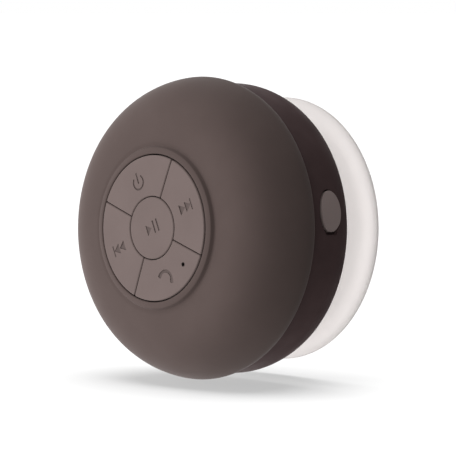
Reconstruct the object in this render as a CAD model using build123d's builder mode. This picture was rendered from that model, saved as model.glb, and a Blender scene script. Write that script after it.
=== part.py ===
"""Shower speaker: a round speaker that hangs on a smooth wall by a suction cup.

A soft-skinned dome with five keys faces the room. The driver faces the wall and plays out
through slots in the back plate. The housing turns on a stud that is moulded into the cup.

Frame, in millimetres: the wall is the plane Y = 0 and the keys face -Y, X is to the right and
Z is up as the user sees it. A depth is a distance from the wall towards the user.
"""

import os
from math import acos, cos, radians, sin, sqrt

from build123d import *

os.makedirs("parts", exist_ok=True)

# ---------------------------------------------------------------- driving dimensions
# suction cup and its stud
cup_radius = 38.0
cup_lip = 0.9
cup_seat_width = 2.4
cup_hollow_depth = 6.0
cup_neck_radius = 12.5
cup_neck_depth = 10.0
stud_radius = 4.0
stud_foot_radius = 7.0
stud_foot_depths = (7.6, 8.8)
stud_head_radius = 6.0
stud_head_depths = (12.5, 14.1)

# rear housing: the dark ring, its back plate and the pedestal that holds the stud
ring_radius = 41.5
ring_wall = 2.2
ring_back = 15.0
ring_front = 30.2
plate_back = 16.0
ring_lip_inner = 38.4
ring_lip_outer = 39.5
ring_flare_start = (39.9, 15.4)
ring_flare_middle = (40.98, 17.95)
ring_flare_end = 21.0
plate_front = 18.0
pedestal_radius = 11.5
pedestal_back = 10.6
pedestal_floor = 12.4
pedestal_bore = 7.6
running_gap = 0.06

# dome: a superellipse from the raised bead round the keys to the widest place
dome_radius = 43.0
dome_rise = 17.16
dome_wide_depth = 34.03
dome_rim_depth = 30.5
dome_rim_radius = 42.0
power_across = 7.12
power_along = 1.46
skin = 1.5
shell_wall = 2.05
bond_gap = 0.08
deck_back = 47.2
deck_front = 49.2

# keys
face_turn = 23.5
pad_radius = 20.45
pad_crown_depth = 52.85
pad_crown_rise = 0.4
key_back = 50.4
key_gap = 0.24
centre_key_radius = 8.73
side_key_reach = 14.4
pusher_radius = 2.0
pusher_tip = 46.65
icon_cut = 0.2
well_radius = 20.78
bead_crest_depth = 52.3
bead_round = 0.3
bead_shoulder = (22.55, 52.05)
bead_shoulder_middle = (22.95, 51.85)
bead_side = (23.15, 51.45)
bead_foot_radius = 23.4

# circuit board
board_radius = 24.0
board_back = 42.8
board_front = 44.0
board_post_reach = 21.5
board_post_angles = (60, 180, 300)
microphone_at = (7.3, -14.2)

# driver
driver_flange_radius = 20.3
driver_seat_front = 20.6
driver_screw_reach = 22.3
cone_edge_radius = 14.9
coil_radius = 7.05

# charging port and its plug
port_angle = 6.4
port_depth = 23.3
plug_half_length = 5.85
plug_half_width = 3.75
plug_proud = 0.15
plug_underside = 40.15
pocket_half_length = 6.4
pocket_half_width = 4.3
pocket_shift = (-0.2, 0.35)
relief_centre = (-5.75, 0.0)
relief_size = (1.7, 5.0)
relief_round = 0.8
relief_floor = 40.5
pocket_floor = 39.9
port_boss_face = 37.8
hinge_along = -5.3
hinge_radius_out = 40.6
knuckle_radius = 0.35
knuckle_slope_end = -3.6

# fasteners
housing_screw_reach = 34.3
retainer_screw_reach = 9.5
quarter_angles = (45, 135, 225, 315)
third_angles = (30, 150, 270)


# ---------------------------------------------------------------- planes and shared shapes
def front_plane(depth, turn=0.0):
    """Plane parallel to the wall, facing the user: local x is right and y is up."""
    right = (cos(radians(turn)), 0, sin(radians(turn)))
    return Plane(origin=(0, -depth, 0), x_dir=right, z_dir=(0, -1, 0))


def key_plane(depth):
    """The front plane turned as the keypad is turned."""
    return front_plane(depth, face_turn)


def side_plane(angle=0.0, shift=0.0):
    """Plane through the speaker's axis: local x is the radius and y is the depth."""
    out = (cos(radians(angle)), 0, sin(radians(angle)))
    plane = Plane(origin=(0, 0, 0), x_dir=out, z_dir=(out[2], 0, -out[0]))
    return plane.offset(shift)


def port_plane(radius):
    """Plane across the port's axis: local x runs up round the ring and y is the depth."""
    out = (cos(radians(port_angle)), 0, sin(radians(port_angle)))
    origin = (radius * out[0], -port_depth, radius * out[2])
    return Plane(origin=origin, x_dir=(-out[2], 0, out[0]), z_dir=out)


def port_section_plane():
    """Plane that cuts the port lengthways: local x runs up round the ring, y is the radius."""
    out = (cos(radians(port_angle)), 0, sin(radians(port_angle)))
    return Plane(origin=(0, -port_depth, 0), x_dir=(-out[2], 0, out[0]), z_dir=(0, 1, 0))


def polar(reach, angle):
    """A point of a plane, by its distance and angle from the axis."""
    return (reach * cos(radians(angle)), reach * sin(radians(angle)))


def dome_points(inset, first_radius, count):
    """Points along the dome's superellipse, drawn in by an inset, out to its widest place."""
    wide = dome_radius - inset
    rise = dome_rise - inset
    first_angle = acos((first_radius / wide) ** (power_across / 2))
    steps = [first_angle * (count - 1 - i) / (count - 1) for i in range(count)]
    return [
        (wide * cos(t) ** (2 / power_across), dome_wide_depth + rise * sin(t) ** (2 / power_along))
        for t in steps
    ]


def add_disc(radius, back, front, centres=((0, 0),), turn=0.0, mode=Mode.ADD):
    """Round discs or rods between two depths, in the part that is being built."""
    with BuildSketch(front_plane(back, turn)) as outline:
        with Locations(*centres):
            Circle(radius)
    extrude(outline.sketch, amount=front - back, mode=mode)


def add_block(width, height, back, front, centres=((0, 0),), turn=0.0, mode=Mode.ADD):
    """Rectangular blocks between two depths, in the part that is being built."""
    with BuildSketch(front_plane(back, turn)) as outline:
        with Locations(*centres):
            Rectangle(width, height)
    extrude(outline.sketch, amount=front - back, mode=mode)


def write_piece(piece, name):
    """Name a finished piece and write its file."""
    piece.part.label = name
    export_step(piece.part, f"parts/{name}.step")


def turned_piece(name, outline):
    """A piece turned about the speaker's axis from corners given as (radius, depth)."""
    with BuildPart() as piece:
        with BuildSketch(side_plane()):
            Polygon(*outline, align=None)
        revolve(axis=Axis.Y)
    write_piece(piece, name)


def washer(name, outer_radius, inner_radius, back, front):
    """A flat ring about the speaker's axis."""
    corners = [(inner_radius, back), (outer_radius, back), (outer_radius, front), (inner_radius, front)]
    turned_piece(name, corners)


def block_piece(name, width, height, back, front, centres, turn=0.0):
    """Plain moulded or soldered blocks, one solid at each centre."""
    with BuildPart() as piece:
        add_block(width, height, back, front, centres, turn)
    write_piece(piece, name)


def screws(name, centres, seat, side, head_radius, head_height, shank_radius, shank_length, turn=0.0):
    """Cross-head screws. Side is 1 when the point faces the user and -1 when it faces the wall."""
    slot_width = 0.24 * head_radius
    slot_depth = 0.55 * head_height
    head_top = seat - side * head_height
    with BuildPart() as group:
        add_disc(head_radius, seat, head_top, centres, turn)
        add_disc(shank_radius, seat, seat + side * shank_length, centres, turn)
        for width, height in ((1.3 * head_radius, slot_width), (slot_width, 1.3 * head_radius)):
            add_block(width, height, head_top, head_top + side * slot_depth, centres, turn, Mode.SUBTRACT)
    write_piece(group, name)


def leads(name, angle, route, bend, count, pitch, lead_radius):
    """Side-by-side insulated leads that follow a route of (radius, depth) points."""
    with BuildPart() as group:
        for i in range(count):
            plane = side_plane(angle, (i - (count - 1) / 2) * pitch)
            with BuildLine(plane) as path:
                FilletPolyline(*route, radius=bend)
            start = path.line @ 0
            with BuildSketch(Plane(origin=start, z_dir=path.line % 0)):
                Circle(lead_radius)
            sweep(path=path.line)
    write_piece(group, name)


# ---------------------------------------------------------------- suction cup and stud
with BuildPart() as suction_cup:
    with BuildSketch(side_plane()):
        with BuildLine():
            Polyline(
                (0, cup_hollow_depth),
                (0, stud_foot_depths[0]),
                (stud_foot_radius, stud_foot_depths[0]),
                (stud_foot_radius, stud_foot_depths[1]),
                (stud_radius, stud_foot_depths[1]),
                (stud_radius, cup_neck_depth),
                (cup_neck_radius, cup_neck_depth),
            )
            ThreePointArc(
                (cup_neck_radius, cup_neck_depth), (26.0, 5.6), (cup_radius - 0.4, cup_lip)
            )
            Polyline(
                (cup_radius - 0.4, cup_lip),
                (cup_radius, cup_lip - 0.4),
                (cup_radius, 0),
                (cup_radius - cup_seat_width, 0),
            )
            ThreePointArc(
                (cup_radius - cup_seat_width, 0), (23.0, 3.9), (cup_neck_radius, cup_hollow_depth)
            )
            Line((cup_neck_radius, cup_hollow_depth), (0, cup_hollow_depth))
        make_face()
    revolve(axis=Axis.Y)
write_piece(suction_cup, "suction_cup")

with BuildPart() as cup_stud:
    add_disc(stud_foot_radius, *stud_foot_depths)
    add_disc(stud_radius, stud_foot_depths[1], stud_head_depths[0])
    add_disc(stud_head_radius, *stud_head_depths)
    chamfer(cup_stud.edges().sort_by(Axis.Y)[0], 0.6)
write_piece(cup_stud, "cup_stud")

# ---------------------------------------------------------------- rear housing
slot_count = 14
slot_length = 4.2
slot_width = 1.8
slot_reach = 14.6
ring_bore = ring_radius - ring_wall
housing_screw_spots = [polar(housing_screw_reach, a) for a in quarter_angles]
driver_screw_spots = [polar(driver_screw_reach, a) for a in quarter_angles]
retainer_screw_spots = [polar(retainer_screw_reach, a) for a in third_angles]
port_board_front = 21.5
port_board_back = 20.5
port_screw_spots = [(29.2, -5.2), (29.2, 5.2)]

with BuildPart() as rear_housing:
    with BuildSketch(side_plane()):
        with BuildLine():
            Polyline(
                (stud_radius + running_gap, pedestal_floor),
                (stud_radius + running_gap, pedestal_back),
                (pedestal_radius - 0.6, pedestal_back),
                (pedestal_radius, pedestal_back + 0.6),
                (pedestal_radius, plate_back),
                (ring_lip_inner, plate_back),
                (ring_lip_inner + 0.4, ring_back),
                (ring_lip_outer, ring_back),
                ring_flare_start,
            )
            ThreePointArc(ring_flare_start, ring_flare_middle, (ring_radius, ring_flare_end))
            Polyline(
                (ring_radius, ring_flare_end),
                (ring_radius, ring_front),
                (ring_bore, ring_front),
                (ring_bore, plate_front),
                (pedestal_bore, plate_front),
                (pedestal_bore, pedestal_floor),
                (stud_radius + running_gap, pedestal_floor),
            )
        make_face()
    revolve(axis=Axis.Y)
    # seat of the driver, posts of the screws and the block behind the port
    with BuildSketch(front_plane(plate_front)):
        Circle(20.5)
        Circle(17.5, mode=Mode.SUBTRACT)
    extrude(amount=driver_seat_front - plate_front)
    add_disc(3.4, plate_front, 20.5, housing_screw_spots)
    add_disc(1.9, plate_front, 22.0, driver_screw_spots)
    add_disc(1.8, plate_front, port_board_back, port_screw_spots, port_angle)
    add_block(2.4, 14.6, plate_front, 27.1, [(port_boss_face + 1.2, 0)], port_angle)
    # slots that let the sound out
    with BuildSketch(front_plane(plate_back)):
        with PolarLocations(slot_reach, slot_count):
            SlotOverall(slot_length, slot_width)
    extrude(amount=plate_front - plate_back, mode=Mode.SUBTRACT)
    # screw holes
    add_disc(2.3, plate_back, 17.3, housing_screw_spots, mode=Mode.SUBTRACT)
    add_disc(1.2, 17.3, 20.5, housing_screw_spots, mode=Mode.SUBTRACT)
    add_disc(0.85, 18.2, 22.0, driver_screw_spots, mode=Mode.SUBTRACT)
    add_disc(0.85, 14.0, plate_front, retainer_screw_spots, mode=Mode.SUBTRACT)
    add_disc(0.75, 18.4, port_board_back, port_screw_spots, port_angle, Mode.SUBTRACT)
    # oval pocket for the plug, mouth of the socket and slot of the plug's strap
    with BuildSketch(port_plane(pocket_floor)):
        with Locations(pocket_shift):
            Ellipse(pocket_half_length, pocket_half_width)
    extrude(amount=4, mode=Mode.SUBTRACT)
    # shallow room for the hinge end of the plug to swing down into
    with BuildSketch(port_plane(relief_floor)):
        with Locations(relief_centre):
            RectangleRounded(*relief_size, relief_round)
    extrude(amount=4, mode=Mode.SUBTRACT)
    with BuildSketch(port_plane(port_boss_face - 1)):
        with Locations((0.4, 0)):
            RectangleRounded(8.6, 4.6, 1.2)
        with Locations((hinge_along, 0)):
            Rectangle(1.0, 2.6)
    extrude(amount=4, mode=Mode.SUBTRACT)
write_piece(rear_housing, "rear_housing")

# ---------------------------------------------------------------- what holds the stud
retainer_front = 19.2
with BuildPart() as cup_retainer:
    add_disc(pedestal_bore - 0.1, 14.3, plate_front)
    add_disc(11.4, plate_front, retainer_front)
    add_disc(5.2, 15.8, retainer_front, mode=Mode.SUBTRACT)
    add_disc(0.95, plate_front, retainer_front, retainer_screw_spots, mode=Mode.SUBTRACT)
    fillet(cup_retainer.edges().sort_by(Axis.Y)[0], 0.4)
write_piece(cup_retainer, "cup_retainer")

screws("retainer_screws", retainer_screw_spots, retainer_front, -1, 1.6, 1.0, 0.8, 4.6)
washer("sound_mesh", 17.3, 11.7, plate_front, plate_front + 0.2)

# ---------------------------------------------------------------- dome: soft skin over a rigid shell
rim_arc_middle = (42.755, 32.23)
skin_foot_radius = dome_rim_radius - skin
inner_skin = dome_points(skin, well_radius, 9)
bead_lip = (well_radius + bead_round, bead_crest_depth)
bead_wall_end = (well_radius, bead_crest_depth - bead_round)
with BuildPart() as dome_cover:
    outer_skin = dome_points(0, bead_foot_radius, 10)
    with BuildSketch(side_plane()):
        with BuildLine():
            Line(inner_skin[0], bead_wall_end)
            RadiusArc(bead_wall_end, bead_lip, bead_round)
            Line(bead_lip, bead_shoulder)
            ThreePointArc(bead_shoulder, bead_shoulder_middle, bead_side)
            Line(bead_side, outer_skin[0])
            Spline(*outer_skin, tangents=[(1, -0.03), (0, -1)])
            ThreePointArc(outer_skin[-1], rim_arc_middle, (dome_rim_radius, dome_rim_depth))
            Line((dome_rim_radius, dome_rim_depth), (skin_foot_radius, dome_rim_depth))
            Line((skin_foot_radius, dome_rim_depth), inner_skin[-1])
            Spline(*inner_skin[::-1], tangents=[(0, 1), (-1, 0.02)])
        make_face()
    revolve(axis=Axis.Y)
write_piece(dome_cover, "dome_cover")

pusher_spots = {
    "power": (0, side_key_reach),
    "next": (side_key_reach, 0),
    "previous": (-side_key_reach, 0),
    "call": (0, -side_key_reach),
    "play_pause": (0, 0),
}
board_screw_spots = [polar(board_post_reach, a) for a in board_post_angles]
spigot_radius = ring_bore - 0.2
spigot_back = 27.4
spigot_bore = 37.2
groove_depths = (28.05, 29.15)
groove_radius = 38.25
deck_hole_radius = 3.0

with BuildPart() as front_shell:
    outside = dome_points(skin + bond_gap, well_radius, 9)
    inside = dome_points(skin + shell_wall, 23.0, 9)
    with BuildSketch(side_plane()):
        with BuildLine():
            Polyline((0, deck_back), (0, deck_front), (well_radius - 0.1, deck_front), outside[0])
            Spline(*outside, tangents=[(1, -0.02), (0, -1)])
            Polyline(
                outside[-1],
                (skin_foot_radius - bond_gap, dome_rim_depth),
                (spigot_radius, dome_rim_depth),
                (spigot_radius, groove_depths[1]),
                (groove_radius, groove_depths[1]),
                (groove_radius, groove_depths[0]),
                (spigot_radius, groove_depths[0]),
                (spigot_radius, spigot_back),
                (spigot_bore, spigot_back),
                (spigot_bore, 31.0),
                inside[-1],
            )
            Spline(*inside[::-1], tangents=[(0, 1), (-1, 0.03)])
            Polyline(inside[0], (23.0, deck_back), (0, deck_back))
        make_face()
    revolve(axis=Axis.Y)
    add_disc(3.2, 20.7, 42.5, housing_screw_spots)
    add_disc(1.05, 20.7, 30.0, housing_screw_spots, mode=Mode.SUBTRACT)
    add_disc(2.4, board_front, deck_back, board_screw_spots)
    add_disc(0.85, board_front, 46.9, board_screw_spots, mode=Mode.SUBTRACT)
    add_disc(
        deck_hole_radius, deck_back, deck_front, pusher_spots.values(), face_turn, Mode.SUBTRACT
    )
    add_disc(0.8, deck_back, deck_front, [microphone_at], face_turn, Mode.SUBTRACT)
write_piece(front_shell, "front_shell")

seal_radius = 0.5
with BuildPart() as housing_seal:
    with BuildSketch(side_plane()):
        with Locations((groove_radius + seal_radius + 0.03, sum(groove_depths) / 2)):
            Circle(seal_radius)
    revolve(axis=Axis.Y)
write_piece(housing_seal, "housing_seal")

screws("housing_screws", housing_screw_spots, 17.3, 1, 2.0, 1.1, 1.0, 10.0)

# ---------------------------------------------------------------- key mat and keys
mat_front = deck_front + 0.5
with BuildPart() as key_mat:
    add_disc(well_radius - 0.2, deck_front, mat_front)
    add_disc(deck_hole_radius - 0.05, 48.4, deck_front, pusher_spots.values(), face_turn)
    add_disc(
        pusher_radius + 0.1, 48.4, mat_front, pusher_spots.values(), face_turn, Mode.SUBTRACT
    )
    add_disc(0.8, deck_front, mat_front, [microphone_at], face_turn, Mode.SUBTRACT)
write_piece(key_mat, "key_mat")


def crown_depth(radius):
    """Depth of the keypad's face, part of a large ball, at a radius."""
    ball = (pad_radius**2 + pad_crown_rise**2) / (2 * pad_crown_rise)
    return pad_crown_depth - ball + sqrt(ball**2 - radius**2)


def icon_stroke(arc, width):
    """A round-ended stroke along an arc."""
    SlotArc(arc=arc, height=width)


def draw_power():
    """An open ring with a bar through its gap."""
    stroke = 0.5
    ring = Edge.make_circle(2.0, Plane((0, -0.45, 0)), start_angle=138, end_angle=42)
    icon_stroke(ring, stroke)
    with Locations((0, 0.8)):
        Rectangle(stroke, 3.2)


def draw_skip(side):
    """Two triangles and a bar; side is 1 for next and -1 for previous."""
    for start in (-2.25, 0.1):
        Polygon(
            *[(side * x, y) for x, y in ((start, 1.55), (start, -1.55), (start + 2.25, 0))],
            align=None,
        )
    with Locations((side * 2.5, 0)):
        Rectangle(0.45, 3.3)


def draw_play_pause():
    """A triangle and two bars."""
    Polygon((-2.1, 1.6), (-2.1, -1.6), (-0.1, 0), align=None)
    with Locations((1.0, 0), (2.5, 0)):
        Rectangle(0.55, 3.7)


def draw_handset():
    """An arched handset, tilted like a lifted receiver."""
    tilt = -39

    def turned(x, y):
        return Vector(x, y, 0).rotate(Axis.Z, tilt)

    handle = Edge.make_three_point_arc(turned(-2.2, -0.3), turned(0, 1.15), turned(2.2, -0.3))
    icon_stroke(handle, 0.9)
    for side in (-1, 1):
        end = turned(side * 2.35, -0.75)
        with Locations(Location((end.X, end.Y, 0), (0, 0, tilt + side * 20))):
            RectangleRounded(1.15, 1.5, 0.25)


icons = {
    "power": draw_power,
    "next": lambda: draw_skip(1),
    "previous": lambda: draw_skip(-1),
    "call": draw_handset,
    "play_pause": draw_play_pause,
}
sector_angles = {"power": 90, "next": 0, "previous": 180, "call": 270}


def draw_sector(angle):
    """A quarter of the ring round the centre key, narrowed by the gap on each side."""
    reach = 2 * pad_radius
    apex = key_gap / 2 / sin(radians(45))
    Circle(pad_radius)
    Circle(centre_key_radius + key_gap, mode=Mode.SUBTRACT)
    with Locations(Location((0, 0, 0), (0, 0, angle))):
        Polygon((apex, 0), (reach, apex - reach), (reach, reach - apex), align=None, mode=Mode.INTERSECT)


for name, spot in pusher_spots.items():
    with BuildPart() as key:
        with BuildSketch(key_plane(key_back)) as outline:
            if name == "play_pause":
                Circle(centre_key_radius)
            else:
                draw_sector(sector_angles[name])
                fillet(outline.vertices(), 0.4)
        extrude(amount=4)
        # crown the face
        rim = pad_radius + 1
        with BuildSketch(side_plane()):
            with BuildLine():
                Polyline((0, pad_crown_depth), (0, key_back), (rim, key_back), (rim, crown_depth(rim)))
                ThreePointArc(
                    (rim, crown_depth(rim)), (rim / 2, crown_depth(rim / 2)), (0, pad_crown_depth)
                )
            make_face()
        revolve(axis=Axis.Y, mode=Mode.INTERSECT)
        fillet(key.faces().sort_by(Axis.Y)[0].edges(), 0.35)
        # engrave the icon and add the pusher
        reach = Vector(*spot).length
        with BuildSketch(key_plane(crown_depth(reach) - icon_cut)) as icon:
            with Locations(spot):
                icons[name]()
        extrude(amount=1, mode=Mode.SUBTRACT)
        add_disc(pusher_radius, key_back, pusher_tip, [spot], face_turn)
        if name == "call":
            add_disc(0.45, key_back, pad_crown_depth, [microphone_at], face_turn, Mode.SUBTRACT)
    write_piece(key, f"key_{name}")

# ---------------------------------------------------------------- circuit board and what is on it
with BuildPart() as main_board:
    add_disc(board_radius, board_back, board_front)
    add_disc(0.95, board_back, board_front, board_screw_spots, mode=Mode.SUBTRACT)
write_piece(main_board, "main_board")
screws("board_screws", board_screw_spots, board_back, 1, 1.7, 1.0, 0.8, 3.8)

switch_top = 45.6
stem_radius = 1.75
with BuildPart() as switch_bodies:
    add_block(6, 6, board_front, switch_top, pusher_spots.values(), face_turn)
    add_disc(stem_radius + 0.1, 44.8, switch_top, pusher_spots.values(), face_turn, Mode.SUBTRACT)
write_piece(switch_bodies, "switch_bodies")

for name, spot in pusher_spots.items():
    with BuildPart() as stem:
        add_disc(stem_radius, 45.15, 46.4, [spot], face_turn)
    write_piece(stem, f"switch_stem_{name}")

block_piece("radio_chip", 6, 6, board_front, 44.9, [polar(14.5, 135)], face_turn)
block_piece("amplifier_chip", 5, 5, board_front, 44.9, [polar(14.5, 225)], face_turn)
block_piece("crystal", 3.2, 2.5, board_front, 44.7, [polar(21.0, 135)], face_turn)
capacitor_spots = [polar(20.5, a) for a in range(203, 248, 8)]
block_piece("board_capacitors", 2.0, 1.25, board_front, 45.1, capacitor_spots, face_turn)
block_piece("board_inductors", 3, 3, board_front, 45.6, [polar(12.4, 45), polar(17.0, 45)], face_turn)
block_piece("status_light", 1.6, 0.8, board_front, 44.6, [polar(19.0, 315)], face_turn)

with BuildPart() as microphone:
    add_disc(2.0, board_front, 45.5, [microphone_at], face_turn)
write_piece(microphone, "microphone")
with BuildPart() as microphone_boot:
    add_disc(2.7, board_front, deck_back, [microphone_at], face_turn)
    add_disc(2.05, board_front, 45.55, [microphone_at], face_turn, Mode.SUBTRACT)
    add_disc(0.8, 45.55, deck_back, [microphone_at], face_turn, Mode.SUBTRACT)
write_piece(microphone_boot, "microphone_boot")

# ---------------------------------------------------------------- battery
battery_back = 36.2
battery_front = 41.2
battery_half_height = 16.5
with BuildPart() as battery_cell:
    add_block(25, 2 * battery_half_height, battery_back, battery_front)
    fillet(battery_cell.edges().filter_by(Axis.Z), 2.0)
write_piece(battery_cell, "battery_cell")
block_piece("battery_tape", 18, 24, 35.2, battery_back, [(0, 0)])
block_piece("battery_board", 22, 3.2, 38.2, 39.2, [(0, battery_half_height + 1.6)])
block_piece("battery_connector", 6, 3.4, 40.6, board_back, [(0, 21.1)])
leads("battery_leads", 90, [(19.7, 38.7), (21.1, 38.7), (21.1, 40.6)], 1.1, 2, 2.4, 0.5)

# ---------------------------------------------------------------- driver, facing the wall
washer("driver_gasket", 20.0, 17.4, driver_seat_front, 21.1)

with BuildPart() as driver_basket:
    with BuildSketch(side_plane()):
        Polygon(
            (17.2, 21.1),
            (driver_flange_radius, 21.1),
            (driver_flange_radius, 22.1),
            (18.6, 22.1),
            (15.2, 30.0),
            (8.2, 30.0),
            (8.2, 29.2),
            (14.2, 29.2),
            (17.2, 22.1),
            align=None,
        )
    revolve(axis=Axis.Y)
    with BuildSketch(front_plane(23.6)):
        with PolarLocations(16.5, 6):
            Rectangle(6.5, 9)
    extrude(amount=4.6, mode=Mode.SUBTRACT)
write_piece(driver_basket, "driver_basket")

screws("driver_screws", driver_screw_spots, 22.1, -1, 2.6, 1.0, 0.8, 3.7)

with BuildPart() as driver_surround:
    with BuildSketch(side_plane()):
        with BuildLine():
            ThreePointArc((15.05, 21.8), (16.1, 20.6), (17.15, 21.8))
            Line((17.15, 21.8), (16.8, 21.8))
            ThreePointArc((16.8, 21.8), (16.1, 20.95), (15.4, 21.8))
            Line((15.4, 21.8), (15.05, 21.8))
        make_face()
    revolve(axis=Axis.Y)
write_piece(driver_surround, "driver_surround")

with BuildPart() as driver_dust_cap:
    with BuildSketch(side_plane()):
        with BuildLine():
            Polyline((2, 25.1), (0, 25.1), (0, 24.8), (2, 24.8))
            ThreePointArc((2, 24.8), (5.0, 25.4), (coil_radius, 26.6))
            Line((coil_radius, 26.6), (6.6, 26.6))
            ThreePointArc((6.6, 26.6), (4.7, 25.6), (2, 25.1))
        make_face()
    revolve(axis=Axis.Y)
write_piece(driver_dust_cap, "driver_dust_cap")

turned_piece(
    "driver_cone",
    [(cone_edge_radius, 21.5), (cone_edge_radius, 22.0), (coil_radius, 27.4), (coil_radius, 26.9)],
)
turned_piece(
    "driver_spider",
    [(7.25, 28.4), (12.9, 28.4), (13.3, 28.8), (14.1, 28.8), (14.1, 29.2), (13.1, 29.2), (12.7, 28.8),
     (7.25, 28.8)],
)
washer("voice_coil", coil_radius, 6.8, 26.6, 32.4)
washer("driver_top_plate", 12.5, 7.3, 30.0, 31.4)
washer("driver_magnet", 13.5, 8.6, 31.4, 34.0)
with BuildPart() as driver_yoke:
    add_disc(12.5, 34.0, 35.2)
    add_disc(6.55, 30.2, 34.0)
write_piece(driver_yoke, "driver_yoke")
block_piece("driver_terminals", 7, 1.3, 22.1, 23.3, [(0, -19.5)])
speaker_route = [(19.5, 23.3), (19.5, 26.0), (23.0, 30.0), (23.0, 37.0), (21.2, 40.0), (21.2, board_back)]
leads("speaker_leads", 270, speaker_route, 2.0, 2, 3.0, 0.5)

# ---------------------------------------------------------------- charging port
with BuildPart() as port_board:
    add_block(10.2, 14, port_board_back, port_board_front, [(32.3, 0)], port_angle)
    add_disc(0.9, port_board_back, port_board_front, port_screw_spots, port_angle, Mode.SUBTRACT)
write_piece(port_board, "port_board")
screws("port_screws", port_screw_spots, port_board_front, -1, 1.5, 0.9, 0.7, 3.0, port_angle)

with BuildPart() as port_shell:
    add_block(5.5, 7.5, port_board_front, 24.3, [(34.8, 0)], port_angle)
    add_block(5.2, 6.9, 21.8, 24.0, [(35.0, 0)], port_angle, Mode.SUBTRACT)
write_piece(port_shell, "port_shell")
block_piece("port_tongue", 4.2, 4.0, 22.6, 23.3, [(34.5, 0)], port_angle)

port_route = [(28.2, port_board_front), (28.2, 25.0), (25.8, 29.0), (25.8, 37.0), (22.6, 40.3),
              (22.6, board_back)]
leads("port_leads", port_angle, port_route, 2.0, 4, 1.3, 0.4)

# ---------------------------------------------------------------- rubber plug and its strap
plug_outer_radius = ring_radius + plug_proud
plug_tip_radius = sqrt(plug_outer_radius**2 - plug_half_length**2)
knuckle_slope_top = (knuckle_slope_end, sqrt(plug_outer_radius**2 - knuckle_slope_end**2))
spigot_half_width = 1.9
spigot_tip = 38.1
with BuildPart() as port_plug:
    # oval cap with a rounded hinge end
    with BuildSketch(port_plane(plug_underside - 1)):
        Ellipse(plug_half_length, plug_half_width)
    extrude(amount=5)
    with BuildSketch(port_section_plane()):
        with BuildLine():
            knuckle_top = (hinge_along, hinge_radius_out + knuckle_radius)
            knuckle_end = (hinge_along - knuckle_radius, hinge_radius_out)
            knuckle_foot = (hinge_along, hinge_radius_out - knuckle_radius)
            ThreePointArc(knuckle_top, knuckle_end, knuckle_foot)
            Polyline(
                knuckle_foot,
                (hinge_along + 1.1, plug_underside),
                (plug_half_length, plug_underside),
                (plug_half_length, plug_tip_radius),
            )
            ThreePointArc((plug_half_length, plug_tip_radius), (0, plug_outer_radius), knuckle_slope_top)
            Line(knuckle_slope_top, knuckle_top)
        make_face()
    extrude(amount=6, both=True, mode=Mode.INTERSECT)
    # spigot that fills the socket's mouth; its far side clears the mouth as the plug swings
    with BuildSketch(port_section_plane()):
        Polygon((-3.3, plug_underside), (-3.1, spigot_tip), (3.7, spigot_tip), (4.2, plug_underside), align=None)
    extrude(amount=spigot_half_width, both=True)
write_piece(port_plug, "port_plug")

strap_foot = 36.4
strap_top = pocket_floor + 0.25
strap_width = 2.4
with BuildPart() as plug_strap:
    with BuildSketch(port_plane(strap_foot)):
        with Locations((hinge_along, 0)):
            Rectangle(0.8, strap_width)
    extrude(amount=strap_top - strap_foot)
    with BuildSketch(port_plane(strap_foot)):
        with Locations((hinge_along, 0)):
            Rectangle(2.0, strap_width)
    extrude(amount=1.3)
write_piece(plug_strap, "plug_strap")
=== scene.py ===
# %% [markdown]
# # A shower speaker on a suction cup
#
# The speaker was designed elsewhere as a set of exact parts, in metres. This lesson loads
# those parts as a fixed frame, gives every visible surface its real finish, and remakes
# the two soft pieces whose shape lives in gentle curves: the rubber skin of the dome
# and the suction cup. A white sweep and soft light finish the picture.

# %% Load the frame
from math import acos, cos, pi, radians, sin, sqrt

import bmesh
import bpy
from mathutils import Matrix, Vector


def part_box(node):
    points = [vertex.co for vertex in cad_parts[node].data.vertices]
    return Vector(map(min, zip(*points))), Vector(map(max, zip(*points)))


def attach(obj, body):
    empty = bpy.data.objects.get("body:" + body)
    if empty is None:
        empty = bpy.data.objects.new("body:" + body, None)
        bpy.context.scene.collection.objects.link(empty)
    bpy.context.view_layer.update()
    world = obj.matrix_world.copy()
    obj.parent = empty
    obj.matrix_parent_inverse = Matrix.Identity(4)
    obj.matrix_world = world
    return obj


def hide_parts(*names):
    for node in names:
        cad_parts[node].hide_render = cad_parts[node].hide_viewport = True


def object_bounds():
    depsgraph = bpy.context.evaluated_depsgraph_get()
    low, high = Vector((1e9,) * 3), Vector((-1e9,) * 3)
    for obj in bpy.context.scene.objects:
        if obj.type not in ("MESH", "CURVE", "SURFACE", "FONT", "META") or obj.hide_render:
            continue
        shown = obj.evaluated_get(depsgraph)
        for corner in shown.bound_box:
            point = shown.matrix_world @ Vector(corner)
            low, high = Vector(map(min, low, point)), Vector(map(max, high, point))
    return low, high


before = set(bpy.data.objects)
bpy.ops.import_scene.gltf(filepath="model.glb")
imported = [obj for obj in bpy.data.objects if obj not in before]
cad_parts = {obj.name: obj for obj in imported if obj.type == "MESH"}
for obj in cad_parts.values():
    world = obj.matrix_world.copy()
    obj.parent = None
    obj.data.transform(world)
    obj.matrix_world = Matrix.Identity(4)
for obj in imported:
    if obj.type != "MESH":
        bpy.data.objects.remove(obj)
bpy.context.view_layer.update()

MM = 0.001

# %% [markdown]
# ## Where things are
#
# The wall is the plane y = 0 and the keys face -y. Everything round is turned about the
# y axis, so a place is easiest to give as a radius and a depth from the wall. The sizes that
# the pieces share are read from the parts they stand for.

# %% Read sizes from the frame
dome_low, dome_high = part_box("dome_cover")
cup_low, cup_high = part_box("suction_cup")
pad_low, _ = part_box("key_play_pause")

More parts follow.
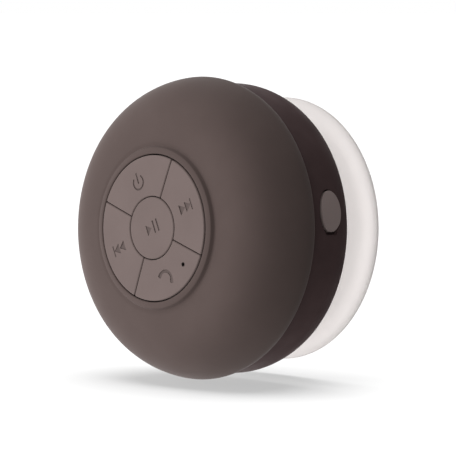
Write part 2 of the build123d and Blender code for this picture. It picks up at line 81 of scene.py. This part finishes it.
dome_radius = dome_high.z / MM
dome_front = -dome_low.y / MM
dome_rim_depth = -dome_high.y / MM
cup_radius = cup_high.x / MM
cup_depth = -cup_low.y / MM
pad_crown_depth = -pad_low.y / MM
floor_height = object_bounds()[0].z
print(f"radius of the dome {dome_radius:.2f} mm and of the cup {cup_radius:.2f} mm")

# %% [markdown]
# ## Writing shaders as sums
#
# A procedural finish is arithmetic on positions and noises. Wiring Math nodes by hand hides
# that arithmetic, so this small class lets a socket be added, multiplied or compared like a
# number, and each operator leaves the matching Math node in the tree. Every node, of any
# type, is made by one function: its type, then its settings, then its sockets.


# %% Any node in one call
def connect(tree, target, value):
    """Sets a socket to a plain value, or links a wire to it."""
    if isinstance(value, Wire):
        tree.links.new(value.socket, target)
    else:
        target.default_value = value


def add_node(tree, kind, settings=None, sockets=None):
    """A node from its type, its settings and the values or links of its sockets."""
    node = tree.nodes.new(kind)
    for name, value in (settings or {}).items():
        setattr(node, name, value)
    for name, value in (sockets or {}).items():
        connect(tree, node.inputs[name], value)
    return node


# %% A socket that works like a number
class Wire:
    """A node's output, which can stand in a sum."""

    def __init__(self, tree, socket):
        self.tree, self.socket = tree, socket

    def math(self, operation, *values):
        sockets = dict(enumerate(values))
        node = add_node(self.tree, "ShaderNodeMath", {"operation": operation}, sockets)
        return Wire(self.tree, node.outputs[0])

    def __add__(self, other):
        return self.math("ADD", self, other)

    def __sub__(self, other):
        return self.math("SUBTRACT", self, other)

    def __rsub__(self, other):
        return self.math("SUBTRACT", other, self)

    def __mul__(self, other):
        return self.math("MULTIPLY", self, other)

    def __gt__(self, other):
        return self.math("GREATER_THAN", self, other)

    def __lt__(self, other):
        return self.math("LESS_THAN", self, other)

    __radd__ = __add__
    __rmul__ = __mul__

    def root(self):
        return self.math("SQRT", self)

    def power(self, exponent):
        return self.math("POWER", self, exponent)

    def at_least(self, low):
        return self.math("MAXIMUM", self, low)

    def between(self, low, high):
        """0 up to low, 1 from high on, and a smooth climb in between."""
        settings = {"interpolation_type": "SMOOTHSTEP"}
        sockets = {"Value": self, "From Min": low, "From Max": high}
        node = add_node(self.tree, "ShaderNodeMapRange", settings, sockets)
        return Wire(self.tree, node.outputs["Result"])


# %% [markdown]
# A finish is one Principled shader with everything that varies worked out in front of it.
# The class below makes the material and keeps the few patterns that all these finishes
# share: a place on the part, a noise, a blend of two colours and a bump. What is the same
# all over a surface, such as its sheen, is set once on the shader itself.


# %% A material that is built up by calls
# the places of the colour sockets on a Mix node
FIRST_COLOUR, SECOND_COLOUR, MIXED_COLOUR = 6, 7, 2


class Finish:
    """One procedural material."""

    def __init__(self, name, **constants):
        self.material = bpy.data.materials.new(name)
        self.material.use_nodes = True
        self.tree = self.material.node_tree
        self.tree.nodes.clear()
        self.output = add_node(self.tree, "ShaderNodeOutputMaterial")
        self.shader = add_node(self.tree, "ShaderNodeBsdfPrincipled")
        self.show(Wire(self.tree, self.shader.outputs[0]))
        self.paint(**constants)

    def show(self, surface):
        """Sends a shader to the output."""
        connect(self.tree, self.output.inputs["Surface"], surface)

    def node(self, kind, settings=None, sockets=None, output=0):
        """One output of any node."""
        node = add_node(self.tree, kind, settings, sockets)
        return Wire(self.tree, node.outputs[output])

    def place(self):
        """The point on the part, in metres."""
        return self.node("ShaderNodeTexCoord", output="Object")

    def axes(self, vector):
        """The three numbers of a vector."""
        node = add_node(self.tree, "ShaderNodeSeparateXYZ", None, {"Vector": vector})
        return [Wire(self.tree, socket) for socket in node.outputs]

    def noise(self, size, detail=3.0, roughness=0.55, lift=0.0):
        """Soft noise from 0 to 1 whose lumps are about one size across, in metres."""
        sockets = {"Vector": self.place(), "W": lift, "Scale": 1 / size}
        sockets |= {"Detail": detail, "Roughness": roughness}
        return self.node("ShaderNodeTexNoise", {"noise_dimensions": "4D"}, sockets)

    def blend(self, amount, first, second):
        """From one colour to another by an amount."""
        colours = {"Factor": amount, FIRST_COLOUR: first, SECOND_COLOUR: second}
        return self.node("ShaderNodeMix", {"data_type": "RGBA"}, colours, MIXED_COLOUR)

    def bump(self, height, distance, strength):
        """A normal from a height."""
        sockets = {"Height": height, "Distance": distance, "Strength": strength}
        return self.node("ShaderNodeBump", None, sockets)

    def paint(self, **values):
        """Sets sockets of the shader, or links what varies over the surface to them."""
        for socket, value in values.items():
            connect(self.tree, self.shader.inputs[socket.replace("_", " ")], value)
        return self.material


# %% [markdown]
# Colours are easiest to name as a screen shows them, from 0 to 255, but a shader works with
# amounts of light. The first function below goes from one to the other by the standard
# screen curve, and the second makes a colour lighter or darker.


# %% Colours
def light(level):
    """The light of one screen level."""
    level = level / 255
    return level / 12.92 if level <= 0.04045 else ((level + 0.055) / 1.055) ** 2.4


def linear(red, green, blue):
    """A screen colour of 0 to 255 as the light it stands for."""
    return (light(red), light(green), light(blue), 1.0)


def shade(colour, factor):
    """A lighter or darker version of a colour."""
    return tuple(c * factor for c in colour[:3]) + (1.0,)


# %% [markdown]
# ## Soft-touch rubber
#
# The dome, the keys and the plug are moulded in rubber with a dry, powdery touch. Close up
# it has a very fine even grain, and handling leaves faint cloudy patches where the powdery
# bloom has been rubbed. An image would do it, but would need unwrapping and a size. Two
# noises need neither: one of a sixth of a millimetre for the grain, and a broad one that
# moves the colour and the roughness together by a few percent.


# %% Soft-touch rubber in any colour
GRAIN = 0.00016
CLOUD = 0.018
GRAIN_HEIGHT = 0.00002


def soft_touch(name, colour, roughness, seed):
    """A Finish for powdery rubber, and the wire of its colour, for others to add to."""
    finish = Finish(name, IOR=1.4, Specular_IOR_Level=0.12)
    finish.paint(Sheen_Weight=0.03, Sheen_Roughness=0.5)
    clouds = finish.noise(CLOUD, 4.0, 0.6, seed).between(0.35, 0.7)
    grain = finish.noise(GRAIN, 2.0, 0.5, seed + 5)
    tone = finish.blend(clouds * 0.7, shade(colour, 0.95), shade(colour, 1.06))
    tone = finish.blend(grain * 0.25, tone, shade(colour, 1.25))
    finish.paint(
        Base_Color=tone,
        Roughness=roughness - clouds * 0.06 + grain * 0.08,
        Normal=finish.bump(grain, GRAIN_HEIGHT, 0.35),
    )
    return finish, tone


# %% [markdown]
# The dome wears the darkest tone of it. Along its trimmed rear rim a band along the depth,
# broken up by a noise, lightens it: a painted highlight where the rounded edge catches light.

# %% The dome's rubber
RUBBER = linear(92, 79, 76)
RIM_HIGHLIGHT_FROM, RIM_HIGHLIGHT_TO = dome_rim_depth + 1.0, dome_rim_depth + 0.5

dome_finish, dome_tone = soft_touch("dome_rubber", RUBBER, 0.75, 1.0)
along = dome_finish.axes(dome_finish.place())[1]
# painted highlight: a pale band on the skin's rear rim, where its rounded edge would catch light
painted_rim_highlight = along.between(-RIM_HIGHLIGHT_FROM * MM, -RIM_HIGHLIGHT_TO * MM)
painted_rim_highlight = painted_rim_highlight * (dome_finish.noise(0.004, 3.0, 0.6, 3.0) * 0.5 + 0.6)
dome_finish.paint(Base_Color=dome_finish.blend(painted_rim_highlight, dome_tone, shade(RUBBER, 1.6)))
print("made", dome_finish.material.name, "from", len(dome_finish.tree.nodes), "nodes")

# %% [markdown]
# ## The skin of the dome
#
# The skin is moulded in one piece over a rigid shell. It could be a sphere pushed about in
# sculpting, but the real one is exactly round, so its mesh is one closed outline, spun. The
# same spin makes the suction cup later. The mesh is built from points and faces, and a
# second helper joins doubled points and turns every face outwards.


# %% Spin an outline
SPIN_STEPS = 256
SAME_POINT = 1e-7


def turned(name, outline):
    """A closed outline of (radius, depth) points, in millimetres, spun about the y axis."""
    points, faces = [], []
    count = len(outline)
    for i in range(SPIN_STEPS):
        angle = 2 * pi * i / SPIN_STEPS
        points += [(r * cos(angle) * MM, -d * MM, r * sin(angle) * MM) for r, d in outline]
    for i in range(SPIN_STEPS):
        here, there = i * count, (i + 1) % SPIN_STEPS * count
        for j in range(count):
            k = (j + 1) % count
            faces.append((here + j, here + k, there + k, there + j))
    return mesh_piece(name, points, faces)


def mesh_piece(name, points, faces):
    """An object from points and faces, smooth, with its faces all turned outwards."""
    mesh = bpy.data.meshes.new(name)
    mesh.from_pydata(points, [], faces)
    shape = bmesh.new()
    shape.from_mesh(mesh)
    bmesh.ops.remove_doubles(shape, verts=shape.verts, dist=SAME_POINT)
    bmesh.ops.recalc_face_normals(shape, faces=shape.faces)
    shape.to_mesh(mesh)
    shape.free()
    mesh.shade_smooth()
    piece = bpy.data.objects.new(name, mesh)
    bpy.context.scene.collection.objects.link(piece)
    return piece


def arc(middle, radius, start, end, steps):
    """Points of a round corner, from one angle to another in degrees."""
    turns = [radians(start + (end - start) * i / steps) for i in range(steps + 1)]
    return [(middle[0] + radius * cos(t), middle[1] + radius * sin(t)) for t in turns]


# %% [markdown]
# The dome is a superellipse, flat in front and tight at the shoulder. A curve drawn by hand
# would wobble in the light where it bends most, so the outline comes from the formula, with
# its points crowded towards the widest place, where the curve is steep.

# %% The curve of the dome
DOME_WIDE_DEPTH = 34.03
DOME_RISE = 17.16
POWER_ACROSS, POWER_ALONG = 7.12, 1.46


def dome_depth(radius, inset=0.0):
    """Depth of the dome's surface, or of the surface an inset below it."""
    across = radius / (dome_radius - inset)
    return DOME_WIDE_DEPTH + (DOME_RISE - inset) * (1 - across**POWER_ACROSS) ** (1 / POWER_ALONG)


def superellipse_radii(inset, first, steps):
    """Radii from the first one out to the widest place."""
    wide = dome_radius - inset
    turn = acos((first / wide) ** (POWER_ACROSS / 2))
    return [wide * cos(turn * (1 - i / steps)) ** (2 / POWER_ACROSS) for i in range(steps + 1)]


# %% [markdown]
# In front the skin ends in a raised bead round the keys. The bead's crest falls gently from
# the well of the keys, drops steeply outside into a shallow valley, and the valley then
# rises to meet the dome. Two smooth climbs in a row give this without a crease.

# %% The bead round the keys
WELL_RADIUS, WELL_FLOOR = 20.78, 49.6
BEAD_LIP_ROUND = 0.35
BEAD_SHOULDER = 22.5
BEAD_DROP = 0.3
BEAD_FOOT = 23.25
VALLEY_END = 24.6
VALLEY_DEPTH = 0.12


def smooth(t):
    """An easy climb from 0 to 1."""
    t = min(max(t, 0.0), 1.0)
    return t * t * (3 - 2 * t)


def bead_depth(radius):
    """Depth of the raised ring round the keys, its steep outer side and the valley behind it."""
    across = (radius - WELL_RADIUS) / (BEAD_SHOULDER - WELL_RADIUS)
    crest = dome_front - BEAD_DROP * across**2
    valley = dome_depth(BEAD_FOOT) - VALLEY_DEPTH
    if radius < BEAD_SHOULDER:
        return crest
    if radius < BEAD_FOOT:
        down = smooth((radius - BEAD_SHOULDER) / (BEAD_FOOT - BEAD_SHOULDER))
        return crest + (valley - crest) * down
    up_again = smooth((radius - BEAD_FOOT) / (VALLEY_END - BEAD_FOOT))
    return dome_depth(radius) - VALLEY_DEPTH * (1 - up_again)


# %% [markdown]
# The closed outline runs from the well over the bead and the dome to the widest place, in
# under it on a tighter arc, round the rim that tucks over the ring, and back on the inside
# of the skin, which is 1.5 mm thick.

# %% The whole outline
SKIN = 1.5
RIM_RADIUS = 42.0
RIM_ROUND = 0.3
UNDER_ARC = 6.73
UNDER_DROPS = (0.6, 1.2, 1.8, 2.4, 2.9)
BEAD_STEP = 0.06
DOME_START = VALLEY_END + 0.1


def dome_outline():
    lip = WELL_RADIUS + BEAD_LIP_ROUND
    bead_steps = int((VALLEY_END - lip) / BEAD_STEP)
    outline = [(WELL_RADIUS, WELL_FLOOR)]
    outline += arc((lip, bead_depth(lip) - BEAD_LIP_ROUND), BEAD_LIP_ROUND, 180, 90, 6)
    bead = [lip + BEAD_STEP * (i + 1) for i in range(bead_steps)]
    outline += [(r, bead_depth(r)) for r in bead]
    outline += [(r, dome_depth(r)) for r in superellipse_radii(0, DOME_START, 48)]
    for drop in UNDER_DROPS:
        inward = UNDER_ARC - sqrt(UNDER_ARC**2 - drop**2)
        outline.append((dome_radius - inward, DOME_WIDE_DEPTH - drop))
    outline += arc((RIM_RADIUS - RIM_ROUND, dome_rim_depth + RIM_ROUND), RIM_ROUND, 20, -90, 6)
    outline += [(RIM_RADIUS - SKIN, dome_rim_depth)]
    inner = [(r, dome_depth(r, SKIN)) for r in superellipse_radii(SKIN, WELL_RADIUS, 24)]
    return outline + inner[::-1][:-1]


# %% Spin the skin
dome_skin = turned("dome_skin", dome_outline())
dome_skin.data.materials.append(dome_finish.material)
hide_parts("dome_cover")
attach(dome_skin, "housing")
print("dome skin has", len(dome_skin.data.polygons), "faces")

# %% [markdown]
# ## The suction cup
#
# The cup is soft vinyl, milky but pale, so most of the light that one sees in it has come
# through from behind. True volume scattering would take long to render and turn grainy in a
# sheet this thin, so the shader mixes a translucent one into a pale satin plastic. More
# light comes through where the sheet thins outwards. Only the edge of the lip is darker,
# because there one looks along the sheet instead of through it.

# %% Vinyl
MILK_PALE = linear(240, 237, 235)
MILK_BODY = linear(232, 229, 227)
LIP_EDGE = linear(205, 200, 198)
THROUGH = linear(247, 244, 243)
RIPPLE_HEIGHT = 0.00004


def vinyl():
    finish = Finish("milky_vinyl", IOR=1.45, Specular_IOR_Level=0.35)
    x, _, z = finish.axes(finish.place())
    radius = (x * x + z * z).root()
    edge = radius.between((cup_radius - 0.4) * MM, (cup_radius - 0.05) * MM)
    sheet = radius.between((cup_radius - 7) * MM, (cup_radius - 1) * MM)
    milk = finish.noise(0.012, 3.0, 0.5, 2.0).between(0.3, 0.75)
    ripple = finish.noise(0.0011, 2.0, 0.5, 7.0)
    tone = finish.blend(milk, MILK_BODY, MILK_PALE)
    finish.paint(
        Base_Color=finish.blend(edge * 0.9, tone, LIP_EDGE),
        Roughness=0.4 + ripple * 0.12,
        Normal=finish.bump(ripple, RIPPLE_HEIGHT, 0.25),
    )
    satin = Wire(finish.tree, finish.shader.outputs[0])
    glow = finish.node("ShaderNodeBsdfTranslucent", None, {"Color": THROUGH})
    share = 0.72 + sheet * 0.16 - edge * 0.35
    finish.show(finish.node("ShaderNodeMixShader", None, {0: share, 1: satin, 2: glow}))
    return finish.material


# %% [markdown]
# Its shape is turned like the dome: a flat seat at the wall, a thin rounded lip, a bell that
# swells as it climbs to the thick neck, and a hollow underneath. The stud is moulded into
# the neck, so the outline leaves its hole, over a floor of 1 mm.

# %% Cup outline
LIP_THICK = 0.9
LIP_INSET = 0.4
SEAT_WIDTH, SEAT_EDGE = 2.4, 0.3
NECK_RADIUS = 12.5
NECK_ROUND = 0.6
BELL_START, BELL_STEP, BELL_STEPS = 0.6, 0.83, 29
BELL_S = 0.38
HOLLOW_DEPTH = 6.0
HOLLOW_STEPS = 20
HOLLOW_POWER, HOLLOW_SAG = 1.7, 0.12
STUD_HOLE = 4.02
STUD_FLOOR = 1.0


def bell_depth(radius):
    """Depth of the bell's outer face: a slope with an easy S, from the lip to the neck."""
    foot = cup_radius - LIP_INSET
    t = (foot - radius) / (foot - NECK_RADIUS)
    rise = cup_depth - NECK_ROUND - LIP_THICK
    return LIP_THICK + rise * ((1 - BELL_S) * t + BELL_S * smooth(t))


def hollow_face():
    """The inner face of the bell, from the neck out to the seat."""
    wide = cup_radius - SEAT_WIDTH - NECK_RADIUS
    face = []
    for i in range(HOLLOW_STEPS):
        t = i / HOLLOW_STEPS
        depth = HOLLOW_DEPTH * (1 - t**HOLLOW_POWER) * (1 - HOLLOW_SAG * sin(pi * t))
        face.append((NECK_RADIUS + wide * t, depth))
    return face


def cup_outline():
    lip = LIP_THICK / 2
    outline = [(cup_radius - SEAT_WIDTH, 0.0), (cup_radius - SEAT_EDGE, 0.0)]
    outline += arc((cup_radius - lip, lip), lip, -60, 90, 8)
    bell = [cup_radius - BELL_START - BELL_STEP * (i + 1) for i in range(BELL_STEPS)]
    outline += [(r, bell_depth(r)) for r in bell]
    outline += arc((NECK_RADIUS - NECK_ROUND, cup_depth - NECK_ROUND), NECK_ROUND, 10, 90, 5)
    outline += [(STUD_HOLE, cup_depth), (STUD_HOLE, HOLLOW_DEPTH + STUD_FLOOR)]
    outline += [(0.0, HOLLOW_DEPTH + STUD_FLOOR), (0.0, HOLLOW_DEPTH)]
    return outline + hollow_face()


# %% Spin the cup
cup = turned("suction_disc", cup_outline())
cup.data.materials.append(vinyl())
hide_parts("suction_cup")
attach(cup, "cup")
print("suction disc has", len(cup.data.polygons), "faces")

# %% [markdown]
# ## The keys
#
# The five keys keep their exact parts: their faces lie on one very shallow ball, and their
# symbols are cut in by a fifth of a millimetre. The floor of a cut lies in shade, so shade is
# painted on it. Painting it by hand would need an image, so the finish darkens what lies a
# little below the ball and faces straight out, and to measure that depth it needs only the
# position on the part.

# %% How deep a point lies below the keys' ball
PAD_RADIUS, PAD_CROWN = 20.45, 0.4
CUT_FROM, CUT_TO = 0.09 * MM, 0.32 * MM
FACES_OUT = 0.93

ball = (PAD_RADIUS**2 + PAD_CROWN**2) / (2 * PAD_CROWN) * MM
ball_centre = pad_crown_depth * MM - ball


def painted_cut_shade(finish):
    """1 on the floor of a cut symbol, where shade is painted, 0 elsewhere."""
    x, y, z = finish.axes(finish.place())
    below = (ball * ball - (x * x + z * z)).root() + ball_centre + y
    facing = finish.axes(finish.node("ShaderNodeNewGeometry", output="Normal"))[1] * -1
    return (below > CUT_FROM) * (below < CUT_TO) * (facing > FACES_OUT)


print(f"the ball under the keys has a radius of {ball / MM:.0f} mm")

# %% [markdown]
# The handset's key also has the microphone's little hole. Light hardly gets out of it, so
# the finish is nearly black round that one spot, which is given on the upright keypad and
# then turned with it.

# %% The hole's place
PAD_TURN = radians(23.5)
HOLE_ACROSS, HOLE_UP = 7.3, -14.2
HOLE_INNER, HOLE_OUTER = 0.5 * MM, 0.75 * MM

hole_x = (HOLE_ACROSS * cos(PAD_TURN) - HOLE_UP * sin(PAD_TURN)) * MM
hole_z = (HOLE_ACROSS * sin(PAD_TURN) + HOLE_UP * cos(PAD_TURN)) * MM


def near_hole(finish):
    """1 in the microphone's hole, 0 away from it."""
    x, _, z = finish.axes(finish.place())
    aside, above = x - hole_x, z - hole_z
    return 1 - (aside * aside + above * above).root().between(HOLE_INNER, HOLE_OUTER)


# %% Finish the keys
KEY_RUBBER = linear(117, 103, 100)
KEYS = ("power", "next", "previous", "call", "play_pause")
KEY_SEED = 20.0


def key_finish(key, seed):
    finish, tone = soft_touch(f"key_rubber_{key}", KEY_RUBBER, 0.7, seed)
    # painted shade on the floors of the cut symbols
    tone = finish.blend(painted_cut_shade(finish) * 0.75, tone, shade(KEY_RUBBER, 0.6))
    if key == "call":
        tone = finish.blend(near_hole(finish), tone, shade(KEY_RUBBER, 0.12))
    return finish.paint(Base_Color=tone)


def coat(node, material):
    """Gives a part's object one material."""
    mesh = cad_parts[node].data
    mesh.materials.clear()
    mesh.materials.append(material)


for number, key in enumerate(KEYS):
    coat(f"key_{key}", key_finish(key, KEY_SEED + number))
print("coated", len(KEYS), "keys")

# %% [markdown]
# The plug in the ring is moulded from a slightly paler rubber of the same kind, and its
# strap with it. A handmade plug could be rounder, but both keep their exact parts, because
# their fit is what lets the plug swing clear of its pocket.

# %% Plug
PLUG_RUBBER = linear(158, 142, 139)
plug_finish, _ = soft_touch("plug_rubber", PLUG_RUBBER, 0.7, 9.0)
for node in ("port_plug", "plug_strap"):
    coat(node, plug_finish.material)
print("coated the plug and its strap with", plug_finish.material.name)

# %% [markdown]
# ## The dark ring
#
# The ring and the back plate are moulded hard plastic, nearly black with a touch of brown.
# The mould was etched, which leaves a fine matt texture that is coarser than the rubber's,
# and handling polishes it in faint patches. As on the rubber, one fine noise and one broad
# one stand for the two.


# %% Etched plastic
RING_PLASTIC = linear(79, 63, 63)
ETCH_HEIGHT = 0.00003


def etched_plastic(name, colour, roughness, seed):
    finish = Finish(name, IOR=1.4, Specular_IOR_Level=0.08)
    etch = finish.noise(0.00022, 3.0, 0.6, seed)
    patches = finish.noise(0.009, 4.0, 0.55, seed + 3).between(0.35, 0.7)
    tone = finish.blend(patches * 0.8, shade(colour, 0.9), shade(colour, 1.1))
    return finish.paint(
        Base_Color=finish.blend(etch * 0.3, tone, shade(colour, 1.5)),
        Roughness=roughness + etch * 0.12 - patches * 0.07,
        Normal=finish.bump(etch, ETCH_HEIGHT, 0.4),
    )


ring_finish = etched_plastic("ring_plastic", RING_PLASTIC, 0.72, 30.0)
for node in ("rear_housing", "front_shell", "cup_retainer", "switch_bodies"):
    coat(node, ring_finish)
print("coated the housing's hard pieces with", ring_finish.name)

# %% [markdown]
# ## Everything inside
#
# The pieces inside show only when the speaker is taken apart, but each still gets a finish
# of its kind: brushed steel, board lacquer, chip resin, paper, cloth, foam and wire. Two
# short recipes cover them. The one for metals squeezes a noise along one axis, so that its
# lumps become the hair lines of brushing.


# %% Metals
BRUSH_SQUEEZE = 18.0
BRUSH_SCALE = 2600.0
BRUSH_HEIGHT = 0.00002


def metal(name, colour, roughness, seed):
    finish = Finish(name, Metallic=1.0)
    x, y, z = finish.axes(finish.place())
    squeezed = {"X": x, "Y": y * BRUSH_SQUEEZE, "Z": z}
    place = finish.node("ShaderNodeCombineXYZ", None, squeezed)
    lumps = {"Vector": place, "Scale": BRUSH_SCALE, "Detail": 3.0}
    brushed = finish.node("ShaderNodeTexNoise", None, lumps)
    stain = finish.noise(0.004, 3.0, 0.5, seed).between(0.4, 0.7)
    return finish.paint(
        Base_Color=finish.blend(stain * 0.5, colour, shade(colour, 0.72)),
        Roughness=roughness + brushed * 0.15 + stain * 0.1,
        Normal=finish.bump(brushed, BRUSH_HEIGHT, 0.3),
    )


# %% [markdown]
# The one for everything else has a grain of its own size, which shows in the colour, the
# roughness and a slight bump, and a broad mottle fourteen times as large.

# %% Plain stuffs
MOTTLE = 14


def plain(name, colour, roughness, grain, seed, depth=0.00004):
    finish = Finish(name)
    fine = finish.noise(grain, 3.0, 0.6, seed)
    broad = finish.noise(grain * MOTTLE, 2.0, 0.5, seed + 1).between(0.3, 0.7)
    tone = finish.blend(broad * 0.6, colour, shade(colour, 0.8))
    return finish.paint(
        Base_Color=finish.blend(fine * 0.4, tone, shade(colour, 1.3)),
        Roughness=roughness + fine * 0.15,
        Normal=finish.bump(fine, depth, 0.5),
    )


# %% [markdown]
# Each stuff is made once, and a table then says which parts wear it.

# %% Stuffs of the inside
steel = metal("zinc_steel", (0.55, 0.55, 0.56, 1), 0.3, 40.0)
foil = metal("battery_foil", (0.62, 0.62, 0.64, 1), 0.35, 41.0)
copper = metal("enamelled_copper", (0.72, 0.33, 0.16, 1), 0.3, 42.0)
black_rubber = plain("black_rubber", (0.018, 0.018, 0.018, 1), 0.7, 0.0004, 43.0)
pale_plastic = plain("pale_plastic", (0.72, 0.70, 0.66, 1), 0.5, 0.0005, 44.0)
lacquer = plain("board_lacquer", (0.012, 0.10, 0.035, 1), 0.3, 0.0006, 45.0)
resin = plain("chip_resin", (0.018, 0.018, 0.02, 1), 0.55, 0.0002, 46.0)
paper = plain("cone_paper", (0.028, 0.028, 0.03, 1), 0.8, 0.0005, 47.0)
foam = plain("grey_foam", (0.10, 0.10, 0.10, 1), 0.9, 0.0006, 48.0, 0.0002)
ceramic = plain("capacitor_ceramic", (0.42, 0.27, 0.13, 1), 0.4, 0.0002, 49.0)
cloth = plain("spider_cloth", (0.50, 0.33, 0.10, 1), 0.8, 0.0003, 50.0, 0.0001)
ferrite = plain("ferrite", (0.05, 0.05, 0.055, 1), 0.5, 0.0003, 51.0)
red_wire = plain("red_insulation", (0.5, 0.02, 0.02, 1), 0.35, 0.0004, 52.0)
black_wire = plain("black_insulation", (0.02, 0.02, 0.02, 1), 0.35, 0.0004, 53.0)
mesh_cloth = plain("mesh_cloth", (0.025, 0.025, 0.025, 1), 0.8, 0.0002, 54.0, 0.0001)
clear_lens = plain("light_lens", (0.85, 0.85, 0.80, 1), 0.2, 0.0004, 55.0)

# %% Dress the inside
SCREWS = ["retainer_screws", "housing_screws", "board_screws", "driver_screws", "port_screws"]
STAMPED = ["crystal", "driver_basket", "driver_top_plate", "driver_yoke", "port_shell"]
STEMS = [f"switch_stem_{key}" for key in KEYS]

WEARS = {
    steel: SCREWS + STAMPED,
    foil: ["battery_cell", "microphone"],
    copper: ["voice_coil"],
    black_rubber: ["housing_seal", "key_mat", "microphone_boot", "driver_surround"],
    pale_plastic: ["cup_stud", "battery_connector"] + STEMS,
    lacquer: ["main_board", "battery_board", "port_board", "driver_terminals"],
    resin: ["radio_chip", "amplifier_chip", "board_inductors", "port_tongue"],
    paper: ["driver_cone", "driver_dust_cap"],
    foam: ["battery_tape", "driver_gasket"],
    ceramic: ["board_capacitors"],
    cloth: ["driver_spider"],
    ferrite: ["driver_magnet"],
    red_wire: ["battery_leads", "port_leads"],
    black_wire: ["speaker_leads"],
    mesh_cloth: ["sound_mesh"],
    clear_lens: ["status_light"],
}
for material, nodes in WEARS.items():
    for node in nodes:
        coat(node, material)
dressed = sum(len(nodes) for nodes in WEARS.values())
print("dressed", dressed, "inner parts")

# %% [markdown]
# ## The sweep and the light
#
# The speaker is shown as a shop shows it, on a plain white sweep. A level floor at the
# camera's own height would be seen edge on and could carry no shadow, so the sweep leans a
# few degrees towards the camera. It glows a little by itself, which keeps it white, and its
# own grey only sets how dark the shadow on it can be.

# %% Sweep
VIEW_ANGLE = radians(45)
SWEEP_REACH = 6.0
SWEEP_MIDDLE = 0.023
SWEEP_GAP = 0.0008
SWEEP_LEAN = radians(4.5)
SWEEP_GREY = 0.12
SWEEP_GLOW = 0.5

near, far = -SWEEP_REACH, SWEEP_REACH
corners = [(near, near, 0), (far, near, 0), (far, far, 0), (near, far, 0)]
sweep_mesh = bpy.data.meshes.new("sweep")
sweep_mesh.from_pydata(corners, [], [(0, 1, 2, 3)])
sweep = bpy.data.objects.new("sweep", sweep_mesh)
sweep.location = (0, -SWEEP_MIDDLE, floor_height - SWEEP_GAP)
sweep.rotation_euler = (SWEEP_LEAN, 0, VIEW_ANGLE)
bpy.context.scene.collection.objects.link(sweep)

card = Finish("white_sweep", Base_Color=(SWEEP_GREY, SWEEP_GREY, SWEEP_GREY, 1))
card.paint(Specular_IOR_Level=0.0, Roughness=0.9 + card.noise(0.02) * 0.05)
card.paint(Emission_Color=(1, 1, 1, 1), Emission_Strength=SWEEP_GLOW)
sweep_mesh.materials.append(card.material)

# the sweep takes the speaker's shadow but throws no light back on it
sweep.visible_diffuse = False
sweep.visible_glossy = False
sweep.visible_transmission = False
sweep.visible_shadow = False
print("sweep", 2 * SWEEP_REACH, "m wide")

# %% [markdown]
# A soft lamp straight above draws the shadow. It's linked to the sweep alone, so the sweep
# is lit all over but under the speaker, and the top of the dome is no brighter for it.

# %% Shadow lamp
LAMP_SPREAD = radians(64)
LAMP_STRENGTH = 14.5

lamp_light = bpy.data.lights.new("shadow_lamp", "SUN")
lamp_light.angle = LAMP_SPREAD
lamp_light.energy = LAMP_STRENGTH
lamp = bpy.data.objects.new("shadow_lamp", lamp_light)
bpy.context.scene.collection.objects.link(lamp)
lit = bpy.data.collections.new("lit_by_shadow_lamp")
lit.objects.link(sweep)
lamp.light_linking.receiver_collection = lit

# %% [markdown]
# The speaker itself is lit by one very large soft source at the left front that fades away
# round the object, so the right side falls into shade. A sky does this best, as it has no
# edges: its brightness falls evenly from the light side to the dark side, and a little
# towards the top and the bottom. A lobe behind lights the cup from the back. The camera sees
# none of this, only white.

# %% Sky
SKY_SLOPE = 1.06
LIGHT_SIDE = radians(-73)
POLE_DIP = 0.2
BEHIND_LEVEL = 2.35
BEHIND_SIDE = radians(-50)
BEHIND_NARROW = 8.0

world = bpy.data.worlds.new("soft_sky")
bpy.context.scene.world = world
world.use_nodes = True
sky = world.node_tree
sky.nodes.clear()

direction = Wire(sky, add_node(sky, "ShaderNodeTexCoord").outputs["Generated"])
split = add_node(sky, "ShaderNodeSeparateXYZ", None, {"Vector": direction})
right, back, up = [Wire(sky, socket) for socket in split.outputs]
slope = (right * sin(LIGHT_SIDE) + back * -cos(LIGHT_SIDE)) * SKY_SLOPE + 1.0
facing_back = right * sin(BEHIND_SIDE) + back * cos(BEHIND_SIDE)
behind = facing_back.at_least(0.0).power(BEHIND_NARROW) * BEHIND_LEVEL
level = slope.at_least(0.0) * (1 - up * up * POLE_DIP) + behind
seen = Wire(sky, add_node(sky, "ShaderNodeLightPath").outputs["Is Camera Ray"])
shown = {"Color": (1, 1, 1, 1), "Strength": level * (1 - seen) + seen}
background = Wire(sky, add_node(sky, "ShaderNodeBackground", None, shown).outputs[0])
add_node(sky, "ShaderNodeOutputWorld", None, {"Surface": background})
print("the sky has", len(sky.nodes), "nodes")

# %% [markdown]
# ## The camera
#
# A long lens about a metre away keeps the circles nearly true. The camera stands level with
# the middle of the speaker, halfway between its front and its right side, and a step of a
# third of a millimetre to the side centres the object in the frame.

# %% Camera
FOCAL_LENGTH = 276.2
SENSOR_WIDTH = 36.0
NEAR_CLIP = 0.05
CAMERA_REACH = 1.001
AIM_DEPTH = 0.02305
SIDE_STEP = 0.00032

lens = bpy.data.cameras.new("camera")
lens.lens = FOCAL_LENGTH
lens.sensor_width = SENSOR_WIDTH
lens.clip_start = NEAR_CLIP
camera = bpy.data.objects.new("camera", lens)
camera.location = (
    CAMERA_REACH * sin(VIEW_ANGLE) + SIDE_STEP * cos(VIEW_ANGLE),
    -AIM_DEPTH - CAMERA_REACH * cos(VIEW_ANGLE) + SIDE_STEP * sin(VIEW_ANGLE),
    0,
)
camera.rotation_euler = (radians(90), 0, VIEW_ANGLE)
bpy.context.scene.collection.objects.link(camera)
bpy.context.scene.camera = camera
bpy.context.scene.view_settings.view_transform = "Standard"
print("camera at", [round(value, 4) for value in camera.location])
